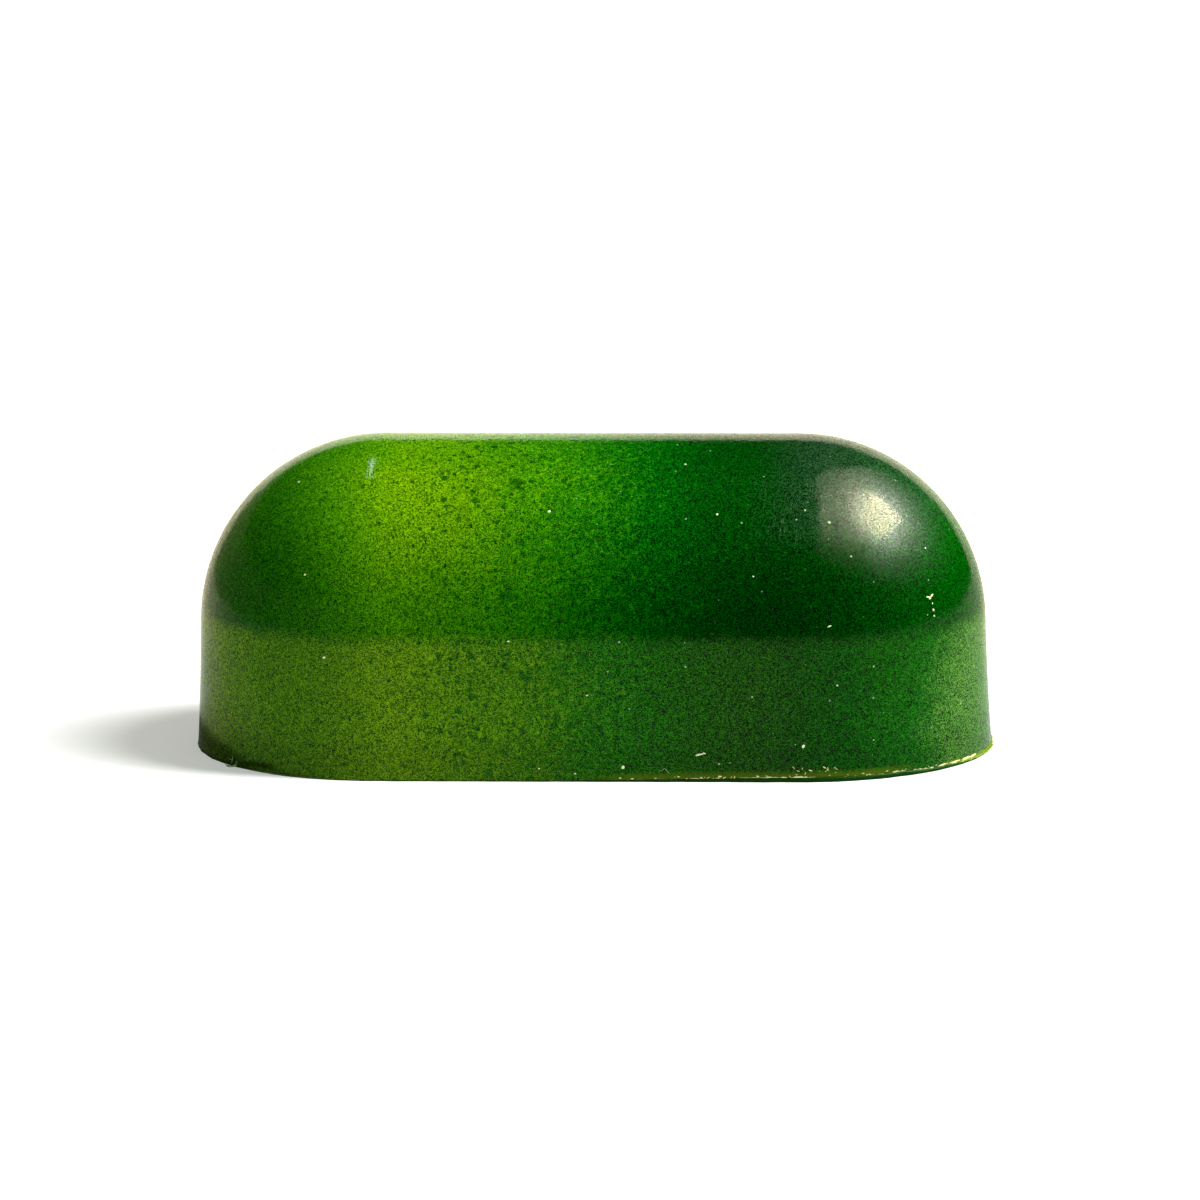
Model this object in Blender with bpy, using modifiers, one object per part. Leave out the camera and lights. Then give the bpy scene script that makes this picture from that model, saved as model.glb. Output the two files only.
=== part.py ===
"""Moulded praline: a coloured chocolate shell over a nut filling, closed by a chocolate base.

The praline has the form of half a capsule. Its plan is a stadium, its wall leans in a little as a
mould's does, and above the spring line it is a half cylinder that ends in quarter spheres.
Metres, +Z up, X along the length. The origin is the middle of the underside.
"""

import math

import bmesh
import bpy

MM = 0.001

# Driving dimensions: the mould's cavity
LENGTH = 40.0 * MM
SPRING_RADIUS = 9.5 * MM
SPRING_HEIGHT = 6.35 * MM
DRAFT = math.radians(1.1)

# Driving dimensions: the chocolate
WALL = 1.8 * MM
BASE_THICKNESS = 1.8 * MM
FOOT_THICKNESS = 0.3 * MM
FOOT_PROUD = 0.12 * MM
GAP = 0.3 * MM

# Worked out from them
HEIGHT = SPRING_HEIGHT + SPRING_RADIUS
MOUTH_RADIUS = SPRING_RADIUS + SPRING_HEIGHT * math.tan(DRAFT)
HALF_STRAIGHT = LENGTH / 2 - MOUTH_RADIUS
LIP_HEIGHT = FOOT_THICKNESS + GAP
FILLING_FLOOR = BASE_THICKNESS + GAP

# How finely the round parts are divided
SHELL_ARC_STEPS, SHELL_TURN_STEPS = 16, 32
FILLING_ARC_STEPS, FILLING_TURN_STEPS = 12, 24
BASE_TURN_STEPS = 32
MERGE_DISTANCE = 0.001 * MM


def remove_scene_objects():
    """Empty the scene of the objects that it starts with."""
    for obj in list(bpy.data.objects):
        bpy.data.objects.remove(obj, do_unlink=True)


def principled(name, colour, roughness, coat=0.0):
    """A plain material for one piece."""
    material = bpy.data.materials.new(name)
    material.use_nodes = True
    shader = material.node_tree.nodes["Principled BSDF"]
    shader.inputs["Base Color"].default_value = (*colour, 1.0)
    shader.inputs["Roughness"].default_value = roughness
    shader.inputs["Metallic"].default_value = 0.0
    shader.inputs["Coat Weight"].default_value = coat
    return material


def wall_radius(height, inset=0.0):
    """Half the width of the drafted wall at a height, less an inset."""
    return SPRING_RADIUS + (SPRING_HEIGHT - height) * math.tan(DRAFT) - inset


def vault(inset, steps):
    """The round top as (radius, height) points, from the crown down to the spring line."""
    radius = SPRING_RADIUS - inset
    angles = [math.pi / 2 * step / steps for step in range(steps + 1)]
    return [(radius * math.sin(a), SPRING_HEIGHT + radius * math.cos(a)) for a in angles]


def carry_round_stadium(profile, turn_steps):
    """Carry a (radius, height) profile round the +X half of the stadium, open at X = 0.

    The profile starts at +Y, turns half a circle about the end's axis to -Y, and both of its
    ends are then drawn back along the straight sides to the middle of the praline.
    """
    bm = bmesh.new()
    points = [bm.verts.new((HALF_STRAIGHT, radius, height)) for radius, height in profile]
    first = [bm.edges.new(pair) for pair in zip(points, points[1:])]
    turned = bmesh.ops.spin(
        bm, geom=points + first, cent=(HALF_STRAIGHT, 0, 0), axis=(0, 0, 1),
        angle=-math.pi, steps=turn_steps, use_duplicate=False,
    )
    last = [item for item in turned["geom_last"] if isinstance(item, bmesh.types.BMEdge)]
    for edges in (first, last):
        drawn = bmesh.ops.extrude_edge_only(bm, edges=edges)
        verts = [item for item in drawn["geom"] if isinstance(item, bmesh.types.BMVert)]
        bmesh.ops.translate(bm, verts=verts, vec=(-HALF_STRAIGHT, 0, 0))
    bmesh.ops.remove_doubles(bm, verts=bm.verts, dist=MERGE_DISTANCE)
    bmesh.ops.recalc_face_normals(bm, faces=bm.faces)
    return bm


def make_piece(name, bm, material, collection, parent):
    """Turn the half into an object whose other half is its mirror image."""
    mesh = bpy.data.meshes.new(name)
    bm.to_mesh(mesh)
    bm.free()
    mesh.materials.append(material)
    mesh.shade_smooth()
    mesh.set_sharp_from_angle(angle=math.radians(30))
    piece = bpy.data.objects.new(name, mesh)
    piece.parent = parent
    collection.objects.link(piece)
    mirror = piece.modifiers.new("other_half", "MIRROR")
    mirror.use_axis = (True, False, False)
    mirror.merge_threshold = MERGE_DISTANCE
    return piece


def make_shell(collection, parent):
    """The coloured shell: a cup of even thickness that is open below."""
    profile = vault(0.0, SHELL_ARC_STEPS)
    profile.append((wall_radius(LIP_HEIGHT), LIP_HEIGHT))
    green = principled("green_cocoa_butter", (0.035, 0.17, 0.002), 0.2, coat=1.0)
    bm = carry_round_stadium(profile, SHELL_TURN_STEPS)
    shell = make_piece("shell", bm, green, collection, parent)
    wall = shell.modifiers.new("wall", "SOLIDIFY")
    wall.thickness = WALL
    wall.offset = -1.0
    wall.use_even_offset = True
    return shell


def make_filling(collection, parent):
    """The soft nut filling, a solid that follows the inside of the shell."""
    inset = WALL + GAP
    profile = vault(inset, FILLING_ARC_STEPS)
    profile.append((wall_radius(FILLING_FLOOR, inset), FILLING_FLOOR))
    profile.append((0.0, FILLING_FLOOR))
    paste = principled("nut_paste", (0.36, 0.34, 0.08), 0.7)
    bm = carry_round_stadium(profile, FILLING_TURN_STEPS)
    return make_piece("filling", bm, paste, collection, parent)


def make_base(collection, parent):
    """The closing layer: a plug inside the shell's rim on a thin foot that stands proud of it."""
    foot_radius = MOUTH_RADIUS + FOOT_PROUD
    inset = WALL + GAP
    profile = [
        (0.0, BASE_THICKNESS),
        (wall_radius(BASE_THICKNESS, inset), BASE_THICKNESS),
        (wall_radius(FOOT_THICKNESS, inset), FOOT_THICKNESS),
        (foot_radius, FOOT_THICKNESS),
        (foot_radius, 0.0),
        (0.0, 0.0),
    ]
    ivory = principled("white_chocolate", (0.72, 0.58, 0.34), 0.45)
    bm = carry_round_stadium(profile, BASE_TURN_STEPS)
    return make_piece("base", bm, ivory, collection, parent)


def main():
    """Build the praline's three pieces under one empty."""
    remove_scene_objects()
    collection = bpy.data.collections.new("praline")
    bpy.context.scene.collection.children.link(collection)
    frame = bpy.data.objects.new("praline_frame", None)
    frame.empty_display_size = HEIGHT / 2
    collection.objects.link(frame)
    make_shell(collection, frame)
    make_filling(collection, frame)
    make_base(collection, frame)


main()
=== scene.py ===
"""Looks of a moulded, airbrushed praline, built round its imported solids.

The praline is half a capsule: a stadium in plan, a wall that leans in a little, and above the
spring line a half cylinder that ends in quarter spheres. Sizes here are in millimetres and are
turned into metres when a mesh is written. +Z is up, X runs along the praline, and the long side
that the photograph shows faces -Y.
"""

import logging
import math
from dataclasses import astuple, dataclass
from enum import Enum
from typing import Sequence

import bmesh
import bpy
import numpy as np
from mathutils import Matrix, Vector


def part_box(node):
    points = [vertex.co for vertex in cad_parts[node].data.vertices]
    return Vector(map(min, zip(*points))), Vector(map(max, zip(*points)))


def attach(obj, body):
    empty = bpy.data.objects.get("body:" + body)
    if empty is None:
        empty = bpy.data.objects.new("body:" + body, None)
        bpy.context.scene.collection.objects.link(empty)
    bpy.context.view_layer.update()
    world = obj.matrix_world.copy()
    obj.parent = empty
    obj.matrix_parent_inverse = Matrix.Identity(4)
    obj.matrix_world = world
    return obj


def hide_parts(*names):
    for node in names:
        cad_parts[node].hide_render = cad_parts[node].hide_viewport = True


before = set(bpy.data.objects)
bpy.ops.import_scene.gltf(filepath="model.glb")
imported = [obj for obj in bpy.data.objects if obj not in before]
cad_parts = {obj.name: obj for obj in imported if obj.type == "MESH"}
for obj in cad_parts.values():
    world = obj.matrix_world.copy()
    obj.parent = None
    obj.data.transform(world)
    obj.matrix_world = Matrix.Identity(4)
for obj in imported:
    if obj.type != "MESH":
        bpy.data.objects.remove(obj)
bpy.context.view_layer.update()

MM = 0.001
BODY = "root"
LOG = logging.getLogger("praline")

Colour = tuple[float, float, float]
Array = np.ndarray


class Value:
    """One output of a shader tree, used in Python expressions."""

    def __init__(self, graph: "Graph", socket: bpy.types.NodeSocket) -> None:
        """Wrap a socket of a graph."""
        self.graph = graph
        self.socket = socket

    def math(self, operation: str, *terms: "Value | float") -> "Value":
        """Add a Math node on the given terms."""
        return self.graph.node("ShaderNodeMath", {"operation": operation}, dict(enumerate(terms)))

    def __add__(self, other: "Value | float") -> "Value":
        """Sum."""
        return self.math("ADD", self, other)

    def __radd__(self, other: float) -> "Value":
        """Sum, number first."""
        return self.math("ADD", other, self)

    def __sub__(self, other: "Value | float") -> "Value":
        """Difference."""
        return self.math("SUBTRACT", self, other)

    def __rsub__(self, other: float) -> "Value":
        """Difference, number first."""
        return self.math("SUBTRACT", other, self)

    def __mul__(self, other: "Value | float") -> "Value":
        """Product."""
        return self.math("MULTIPLY", self, other)

    def __rmul__(self, other: float) -> "Value":
        """Product, number first."""
        return self.math("MULTIPLY", other, self)

    def __truediv__(self, other: "Value | float") -> "Value":
        """Quotient."""
        return self.math("DIVIDE", self, other)

    def __pow__(self, other: "Value | float") -> "Value":
        """Power."""
        return self.math("POWER", self, other)

    def most(self, other: "Value | float") -> "Value":
        """The larger of two values."""
        return self.math("MAXIMUM", self, other)

    def least(self, other: "Value | float") -> "Value":
        """The smaller of two values."""
        return self.math("MINIMUM", self, other)

    def rise(self, low: float, high: float) -> "Value":
        """A smooth step from 0 below low to 1 above high.

        Args:
            low: where the step starts.
            high: where it ends; where it is the smaller, the step falls from 1 to 0.

        Returns:
            The step.
        """
        if low > high:
            return 1.0 - self.rise(high, low)
        settings = {"interpolation_type": "SMOOTHSTEP"}
        return self.graph.node("ShaderNodeMapRange", settings, {0: self, 1: low, 2: high})


class Graph:
    """The node tree of one material."""

    def __init__(self, name: str) -> None:
        """Start a material with an empty tree.

        Args:
            name: the material's name.
        """
        self.material = bpy.data.materials.new(name)
        self.material.use_nodes = True
        self.tree = self.material.node_tree
        self.tree.nodes.clear()

    def node(self, kind: str, settings: dict, inputs: dict, output: int | str = 0) -> Value:
        """Add any node.

        Args:
            kind: the node's type.
            settings: attributes that are set first; "stops" fills a colour ramp.
            inputs: socket name or number to a value, a link or a colour.
            output: the output that is wanted.

        Returns:
            That output.
        """
        made = self.tree.nodes.new(kind)
        for name, setting in settings.items():
            if name == "stops":
                fill_ramp(made.color_ramp, setting)
            else:
                setattr(made, name, setting)
        for key, given in inputs.items():
            if isinstance(given, Value):
                self.tree.links.new(given.socket, made.inputs[key])
            else:
                made.inputs[key].default_value = given
        return Value(self, made.outputs[output])

    def millimetres(self) -> Value:
        """Object coordinates, in millimetres."""
        place = self.node("ShaderNodeTexCoord", {}, {}, "Object")
        return self.node("ShaderNodeVectorMath", {"operation": "SCALE"}, {0: place, "Scale": 1 / MM})

    def parts(self, vector: Value) -> tuple[Value, Value, Value]:
        """The X, Y and Z of a vector."""
        split = self.node("ShaderNodeSeparateXYZ", {}, {0: vector}).socket.node
        return tuple(Value(self, split.outputs[axis]) for axis in range(3))

    def noise(self, vector: Value, size: float, detail: float = 2.0) -> Value:
        """Smooth noise from 0 to 1 whose lumps are about this size in millimetres."""
        inputs = {"Vector": vector, "Scale": 1 / size, "Detail": detail}
        return self.node("ShaderNodeTexNoise", {}, inputs)

    def attribute(self, name: str) -> Value:
        """A number that the mesh stores for each vertex."""
        return self.node("ShaderNodeAttribute", {"attribute_name": name}, {}, "Fac")

    def combine(self, x: Value, y: Value, z: Value) -> Value:
        """A vector, or a colour, of three values."""
        return self.node("ShaderNodeCombineXYZ", {}, {0: x, 1: y, 2: z})

    def vector(self, operation: str, first: Value, second: Value | Colour) -> Value:
        """Vector Math on two vectors."""
        return self.node("ShaderNodeVectorMath", {"operation": operation}, {0: first, 1: second})

    def cells(self, vector: Value, size: float) -> tuple[Value, ...]:
        """Scattered points.

        Args:
            vector: the place, in millimetres.
            size: about how far apart the points lie.

        Returns:
            The distance to the nearest point in millimetres, and three random numbers of its own.
        """
        inputs = {"Vector": vector, "Scale": 1 / size}
        made = self.node("ShaderNodeTexVoronoi", {"feature": "F1"}, inputs, "Distance")
        return made * size, *self.parts(Value(self, made.socket.node.outputs["Color"]))

    def spot(self, vector: Value, centre: Colour, radius: float, edge: float) -> Value:
        """A round spot: 1 inside the radius, falling to 0 over the edge."""
        away = self.node("ShaderNodeVectorMath", {"operation": "DISTANCE"}, {0: vector, 1: centre}, 1)
        return away.rise(radius + edge / 2, radius - edge / 2)

    def mix(self, factor: Value | float, first: Value | Colour, second: Value | Colour) -> Value:
        """A colour between two colours."""
        inputs = {0: factor, 6: opaque(first), 7: opaque(second)}
        return self.node("ShaderNodeMix", {"data_type": "RGBA"}, inputs, 2)

    def tint(self, factor: Value, colour: Value, by: Colour) -> Value:
        """A colour, by this much of the way multiplied by another colour."""
        settings = {"data_type": "RGBA", "blend_type": "MULTIPLY"}
        return self.node("ShaderNodeMix", settings, {0: factor, 6: colour, 7: opaque(by)}, 2)

    def brighten(self, colour: Value, gain: Value) -> Value:
        """A colour times a number."""
        return self.node("ShaderNodeVectorMath", {"operation": "SCALE"}, {0: colour, "Scale": gain})

    def bump(self, height: Value, depth: float) -> Value:
        """Normals of a relief whose height of 1 stands for this depth in millimetres."""
        inputs = {"Height": height, "Distance": depth * MM, "Strength": 1.0}
        return self.node("ShaderNodeBump", {}, inputs)

    def surface(self, fixed: dict, linked: dict) -> bpy.types.Material:
        """Close the tree with a Principled shader.

        Args:
            fixed: socket name to a number or colour that is the same all over.
            linked: socket name to what changes over the surface.

        Returns:
            The finished material.
        """
        return self.close(self.node("ShaderNodeBsdfPrincipled", {}, {**fixed, **linked}))

    def speckled(self, matt: dict, gloss: dict, shining: Value) -> bpy.types.Material:
        """Close the tree with a matt and a glossy Principled shader.

        Args:
            matt: inputs of the matt one.
            gloss: inputs of the glossy one.
            shining: the share of the glossy one.

        Returns:
            The finished material.
        """
        flat = {"Specular IOR Level": 0.0, "Roughness": 1.0}
        first = self.node("ShaderNodeBsdfPrincipled", {}, {**flat, **matt})
        second = self.node("ShaderNodeBsdfPrincipled", {}, gloss)
        return self.close(self.node("ShaderNodeMixShader", {}, {0: shining, 1: first, 2: second}))

    def close(self, shader: Value) -> bpy.types.Material:
        """Give the material its surface.

        Args:
            shader: the closing shader.

        Returns:
            The finished material.
        """
        end = self.tree.nodes.new("ShaderNodeOutputMaterial")
        self.tree.links.new(shader.socket, end.inputs["Surface"])
        return self.material


class RoomGraph(Graph):
    """The node tree of the world."""

    def __init__(self, world: bpy.types.World) -> None:
        """Take over a world's tree."""
        self.tree = world.node_tree
        self.tree.nodes.clear()

    def shine(self, colour: Value) -> None:
        """Shine into the room.

        Args:
            colour: the light of each direction.
        """
        shine = self.node("ShaderNodeBackground", {}, {"Color": colour})
        end = self.tree.nodes.new("ShaderNodeOutputWorld")
        self.tree.links.new(shine.socket, end.inputs["Surface"])


def opaque(colour: Value | Colour) -> Value | tuple[float, float, float, float]:
    """A colour as a socket takes it: a link as it is, three numbers with an alpha of 1."""
    return colour if isinstance(colour, Value) else (*colour, 1.0)


def fill_ramp(ramp: bpy.types.ColorRamp, stops: Sequence[tuple[float, Colour]]) -> None:
    """Give a colour ramp its stops.

    Args:
        ramp: the ramp.
        stops: for each a place from 0 to 1 and a colour.
    """
    while len(ramp.elements) < len(stops):
        ramp.elements.new(1.0)
    for element, (place, colour) in zip(ramp.elements, stops):
        element.position = place
        element.color = opaque(colour)
    ramp.interpolation = "LINEAR"


@dataclass(frozen=True)
class Blot:
    """A larger drop of dark green: its X and height on the front, and its radius."""

    along: float
    height: float
    radius: float


@dataclass(frozen=True)
class AirbrushedSkin:
    """Glossy cocoa butter, sprayed from lime to deep green over white chocolate."""

    half_length: float = 20.0
    high_sprays: tuple[tuple[float, Colour], ...] = (
        (0.04, (0.020, 0.130, 0.002)), (0.10, (0.020, 0.148, 0.001)), (0.18, (0.056, 0.216, 0.001)),
        (0.26, (0.118, 0.274, 0.001)), (0.33, (0.100, 0.260, 0.001)), (0.41, (0.054, 0.232, 0.001)),
        (0.485, (0.016, 0.160, 0.001)), (0.56, (0.001, 0.092, 0.001)), (0.635, (0.0005, 0.050, 0.001)),
        (0.71, (0.0005, 0.040, 0.001)), (0.80, (0.0006, 0.042, 0.001)), (0.88, (0.0008, 0.054, 0.001)),
        (0.94, (0.0010, 0.080, 0.001)),
    )
    # Colours of the wall below the spring line: the spray, plus a painted reflection of the floor,
    # yellowish grey at the left end and greenish white at the right end.
    low_sprays_with_painted_reflection: tuple[tuple[float, Colour], ...] = (
        (0.035, (0.112, 0.205, 0.004)), (0.075, (0.062, 0.172, 0.002)), (0.115, (0.051, 0.158, 0.001)),
        (0.17, (0.055, 0.165, 0.001)), (0.22, (0.072, 0.187, 0.001)), (0.27, (0.090, 0.208, 0.001)),
        (0.32, (0.083, 0.204, 0.001)), (0.37, (0.068, 0.187, 0.001)), (0.42, (0.056, 0.176, 0.001)),
        (0.47, (0.030, 0.142, 0.001)), (0.52, (0.015, 0.128, 0.001)), (0.575, (0.007, 0.100, 0.001)),
        (0.63, (0.007, 0.075, 0.001)), (0.73, (0.008, 0.063, 0.002)), (0.83, (0.002, 0.056, 0.001)),
        (0.88, (0.003, 0.064, 0.001)), (0.935, (0.003, 0.076, 0.002)), (0.98, (0.036, 0.136, 0.015)),
    )
    # Painted shade: multiplies the round top's colour lower down, where it turns away from the key.
    shade: Colour = (0.28, 0.54, 0.60)
    # Painted sheen: a faint bluish reflection added high on the front's right.
    painted_sheen: Colour = (0.008, 0.003, 0.011)
    # How much the painted shade darkens the foot of the left end.
    foot_shade: float = 0.62
    droplet: Colour = (0.004, 0.072, 0.001)
    scratch: Colour = (0.030, 0.080, 0.035)
    bloom: Colour = (0.42, 0.60, 0.40)
    olive: Colour = (0.060, 0.105, 0.001)
    lime: Colour = (0.200, 0.270, 0.006)
    ivory: Colour = (0.80, 0.72, 0.42)
    grain_size: float = 0.034
    pinhole_pitch: float = 0.55
    relief: float = 0.014
    blots: tuple[Blot, ...] = (
        Blot(-3.64, 14.34, 0.38), Blot(-3.94, 9.29, 0.36), Blot(-2.95, 5.28, 0.27),
        Blot(-3.21, 2.59, 0.20), Blot(0.62, 14.50, 0.20), Blot(-16.01, 9.75, 0.13),
        Blot(-12.29, 11.95, 0.13), Blot(-15.08, 11.90, 0.08), Blot(-7.95, 10.68, 0.09),
        Blot(-8.73, 9.51, 0.09), Blot(-7.69, 12.35, 0.09),
    )

    def sprayed(self, graph: Graph, place: Value) -> Value:
        """The colour along the praline.

        The sprays overlap along a wandering, slanted front. Near it the drops of both are still
        apart, so the place is also shaken by a fine noise. Painted light is mixed in: painted shade
        on the lower part of the round top, a painted sheen high on the front's right, a second ramp
        below the spring line whose colours hold a painted reflection of the floor besides the spray,
        and painted shade that darkens the wall towards the bottom and in the wedge at the left foot.

        Args:
            graph: the tree to build in.
            place: the place, in millimetres.

        Returns:
            The colour.
        """
        along, _, height = graph.parts(place)
        drift = graph.noise(place, 6.0, 1.0) - 0.5
        wander = graph.noise(place, 1.4, 2.0) - 0.5
        drops = graph.noise(place, 0.26, 1.0) - 0.5
        meeting = along.rise(-9.0, -2.0) * along.rise(8.0, 2.0)
        lean = (height - 9.0) * -0.10
        shaken = along + drift * 3.0 + wander * 1.8 + drops * (2.5 + meeting * 7.0) + lean
        run = shaken / (2 * self.half_length) + 0.5
        high = graph.node("ShaderNodeValToRGB", {"stops": self.high_sprays}, {0: run})
        # Painted shade on the lower part of the round top.
        high = graph.tint(height.rise(14.2, 8.4), high, self.shade)
        high = graph.tint(height.rise(14.4, 15.4), high, (0.75, 0.93, 1.0))
        low = graph.node("ShaderNodeValToRGB", {"stops": self.low_sprays_with_painted_reflection}, {0: run})
        # Below the spring line, the wall's ramp, whose colours also hold the painted reflection.
        colour = graph.mix((height + wander * 0.6).rise(7.6, 6.6), high, low)
        # Painted sheen: a faint bluish reflection high on the front's right, in the thick-named area.
        thick = along.rise(8.0, 12.0) * height.rise(11.0, 13.5)
        colour = graph.vector("ADD", colour, graph.mix(thick, (0.0, 0.0, 0.0), self.painted_sheen))
        # Painted shade: the wedge at the left foot, and a darkening of the wall towards the bottom.
        shaded = 1.0 - self.corner(graph, place) * self.foot_shade
        level = shaded * (0.92 - height.rise(3.2, 0.6) * 0.2)
        return graph.brighten(colour, level.most(height.rise(6.6, 7.6)))

    def corner(self, graph: Graph, place: Value) -> Value:
        """How far a place lies in the painted shade at the foot of the left end: a wedge that stands for
        the floor's cast shadow seen in the wall and the bounce light it takes away, and a near-black band
        of shade low on the wall.

        Args:
            graph: the tree to build in.
            place: the place, in millimetres.

        Returns:
            A share from 0 to 1.
        """
        along, _, height = graph.parts(place)
        wander = graph.noise(place, 1.4, 2.0) - 0.5
        shaded_wedge = ((-15.4 - along) * 0.42 - height + wander * 0.5).rise(-0.1, 0.7)
        shaded_band = along.rise(-18.4, -17.6) * along.rise(-15.2, -16.3)
        shaded_band = shaded_band * (height + wander * 0.5).rise(0.55, 0.35)
        return shaded_wedge.most(shaded_band * (height + wander * 0.3).rise(0.10, 0.25) * 1.15)

    def droplets(self, graph: Graph, place: Value, form: "Stadium") -> Value:
        """How much dark green lies at a place: fine drops, larger ones and the named blots.

        Args:
            graph: the tree to build in.
            place: the place, in millimetres.
            form: the mould's form, on which the named blots lie.

        Returns:
            A share from 0 to 1.
        """
        along = graph.parts(place)[0]
        crowd = 0.25 + along.rise(-12.0, -6.0) * along.rise(4.0, 0.0) * 0.75
        patches = (graph.noise(place, 0.45, 4.0) - 0.52).rise(0.0, 0.12)
        ragged = (graph.noise(place, 0.12, 2.0) - 0.5) * 0.10
        amount = patches * along.rise(-9.0, -3.0) * along.rise(4.5, 1.0) * 0.38
        for size, radius in ((0.32, 0.12), (0.8, 0.17)):
            away, chance, *_ = graph.cells(place, size)
            reach = chance ** 2.0 * (0.35 + crowd) * radius
            drop = (reach - away + ragged).rise(-0.025, 0.035)
            amount = (drop * 0.85).most(amount)
        for blot in self.blots:
            centre = form.front(np.array(blot.along), np.array(blot.height))
            warped = graph.vector("ADD", place, ragged)
            drop = graph.spot(warped, tuple(centre), blot.radius * 0.85, blot.radius)
            amount = (drop * 0.85).most(amount)
        return amount

    def scratches(self, graph: Graph, place: Value) -> Value:
        """How much of the faint, steep scratches beside the highlight lies at a place.

        Args:
            graph: the tree to build in.
            place: the place, in millimetres.

        Returns:
            A share from 0 to 1.
        """
        along, _, height = graph.parts(place)
        line = (self.streaks(graph, place, 14.0, 0.15) - 0.58).rise(0.0, 0.1)
        where = along.rise(7.8, 8.8) * along.rise(12.0, 11.0) * height.rise(11.2, 12.2)
        return line * where * height.rise(14.7, 14.0) * 0.6

    def scuff(self, graph: Graph, place: Value) -> Value:
        """How much of the white scuff high on the left of the front lies at a place.

        Args:
            graph: the tree to build in.
            place: the place, in millimetres.

        Returns:
            A share from 0 to 1.
        """
        along, back, height = graph.parts(place)
        aside = along + 10.95 - (height - 14.8) * 0.1
        smear = (self.streaks(graph, place, 6.0, 0.1) + graph.noise(place, 0.07) - 0.98).rise(0.0, 0.25)
        where = aside.rise(-0.28, -0.12) * aside.rise(0.26, 0.10) * height.rise(14.4, 14.6)
        return smear * where * height.rise(15.32, 15.15) * back.rise(-2.4, -2.8) * 0.7

    def streaks(self, graph: Graph, place: Value, pitch: float, lean: float) -> Value:
        """Noise drawn out into steep lines.

        Args:
            graph: the tree to build in.
            place: the place, in millimetres.
            pitch: about how many lines there are to a millimetre.
            lean: how far they lean to the right for each millimetre up.

        Returns:
            Noise from 0 to 1.
        """
        along, back, height = graph.parts(place)
        drawn = graph.combine((along - height * lean) * pitch, back * 0.5, height * 0.5)
        return graph.noise(drawn, 1.0)

    def material(self, form: "Stadium") -> bpy.types.Material:
        """The whole finish.

        The spray's colour with its painted shade and painted reflections, the dark drops, the pigment's
        grain, pinholes that show the white chocolate, the bare edge along the seam, and a coat over a
        fine relief.

        Args:
            form: the mould's form, on which the named drops lie.

        Returns:
            The material.
        """
        graph = Graph("airbrushed_cocoa_butter")
        place = graph.millimetres()
        along, _, height = graph.parts(place)
        drops = self.droplets(graph, place, form)
        colour = graph.mix(drops, self.sprayed(graph, place), self.droplet)
        colour = graph.mix(self.scratches(graph, place), colour, self.scratch)
        _, grain, glint, _ = graph.cells(place, self.grain_size)
        coarse = graph.noise(place, 0.22, 2.0)
        deep = along.rise(-4.0, 6.0)
        speckle = (grain - 0.5) * (2.9 + deep * 1.7) + (coarse - 0.5) * 1.2
        gain = (speckle + 1.0).most(0.05) * (0.80 + deep * 0.01)
        colour = graph.vector("MULTIPLY", colour, graph.combine(gain ** 1.6 * 0.86, gain, gain))
        colour = graph.mix(self.scuff(graph, place), colour, self.bloom)

        away, chance, *_ = graph.cells(place, self.pinhole_pitch)
        pin_reach = chance.rise(0.65, 1.0) * 0.05 * (0.4 + along.rise(-6.0, 2.0) * 0.6)
        pinhole = (pin_reach - away).rise(-0.008, 0.012)
        colour = graph.mix(pinhole * 0.6, colour, self.bloom)

        above = graph.attribute("above_lip")
        # An olive band just above the seam on the front's right half.
        olive_band = along.rise(-1.0, 3.0) * along.rise(17.0, 14.5) * (above + coarse * 0.3).rise(0.6, 0.25)
        colour = graph.mix(olive_band * 0.7, colour, self.olive)
        thin = along.rise(17.4, 18.6) * (above + coarse * 0.35).rise(0.42, 0.24)
        colour = graph.mix(thin * 0.8, colour, self.lime)
        broken = graph.noise(place, 0.5, 2.0)
        bare_width = (broken - 0.40).rise(0.0, 0.25) * along.rise(-1.0, 12.0) * 0.075
        bare = (bare_width - above).rise(-0.02, 0.02)
        colour = graph.mix(bare, colour, self.ivory)

        fine = graph.noise(place, 0.11, 1.0)
        rolling = graph.noise(place, 0.7, 2.0)
        relief = graph.bump(fine * 0.25 + rolling - drops * 0.15, self.relief)
        # Less gloss where the left foot is painted in shade.
        shining = glint * (1.0 - self.corner(graph, place).least(1.0) * 0.7)
        gloss = {"Base Color": colour, "IOR": 1.16, "Roughness": 0.07 + grain * 0.06, "Normal": relief}
        return graph.speckled({"Base Color": colour, "Normal": relief}, gloss, shining)


@dataclass(frozen=True)
class PlainFinish:
    """A mottled finish of two close colours with a fine grain, and a green margin if asked."""

    name: str
    light: Colour
    dark: Colour
    roughness: float
    patch: float = 1.5
    grain: float = 0.12
    relief: float = 0.01
    margin: Colour | None = None

    def material(self) -> bpy.types.Material:
        """Build the finish.

        Returns:
            The material.
        """
        graph = Graph(self.name)
        place = graph.millimetres()
        colour = graph.mix(graph.noise(place, self.patch, 3.0), self.dark, self.light)
        fine = graph.noise(place, self.grain, 2.0)
        colour = graph.brighten(colour, 0.85 + fine * 0.3)
        if self.margin:
            ragged = graph.noise(place, 0.6, 3.0)
            sprayed = (ragged * 1.1 - graph.attribute("to_rim")).rise(-0.05, 0.25)
            colour = graph.mix(sprayed, colour, self.margin)
        linked = {"Base Color": colour, "Normal": graph.bump(fine, self.relief)}
        return graph.surface({"Roughness": self.roughness, "Specular IOR Level": 0.02}, linked)


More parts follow.
